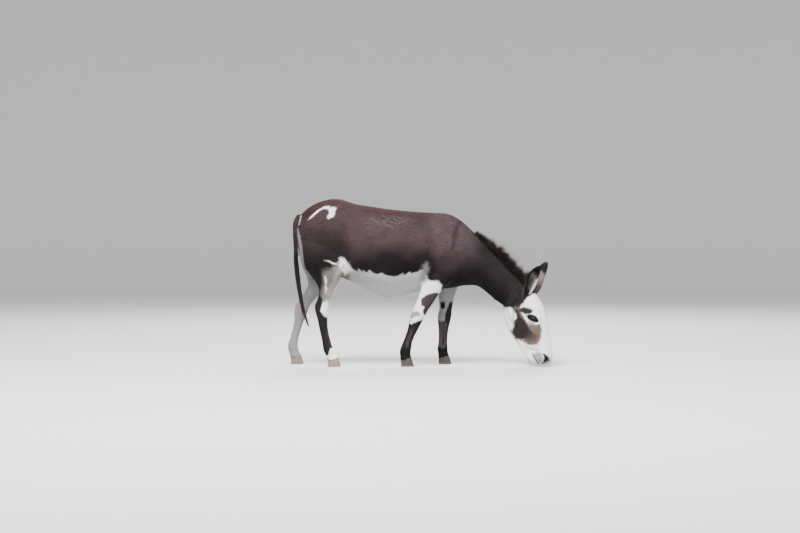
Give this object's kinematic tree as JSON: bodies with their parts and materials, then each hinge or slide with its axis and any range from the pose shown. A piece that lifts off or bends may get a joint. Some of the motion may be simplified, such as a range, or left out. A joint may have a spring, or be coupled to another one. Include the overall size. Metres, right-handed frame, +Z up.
{
  "type": "miniature donkey",
  "caption": "Life-size still model of a spotted brown and white miniature donkey standing with its head lowered to graze.",
  "frame": {"origin": "middle of the whole model's box, on the floor between the four hooves", "axes": "+X towards the nose, +Y to the animal's left, +Z up"},
  "size_m": [1.5472, 0.43, 0.9745],
  "materials": {
    "coat": "short dense hair, dark brown with white patches",
    "hair": "long coarse hair, dark brown with sun-bleached tips",
    "eye": "wet gloss, very dark brown",
    "hoof": "dull grey-brown horn with fine growth rings"
  },
  "bodies": {
    "root": {"torso": "coat", "neck": "coat", "head": "coat", "tail": "hair", "ear_right": "coat", "ear_left": "coat", "eye_right": "eye", "eye_left": "eye", "foreleg_right_upper": "coat", "foreleg_right_lower": "coat", "foreleg_left_upper": "coat", "foreleg_left_lower": "coat", "hindleg_right_upper": "coat", "hindleg_right_lower": "coat", "hindleg_left_upper": "coat", "hindleg_left_lower": "coat", "hoof_fore_right": "hoof", "hoof_fore_left": "hoof", "hoof_hind_right": "hoof", "hoof_hind_left": "hoof"}
  },
  "joints": []
}
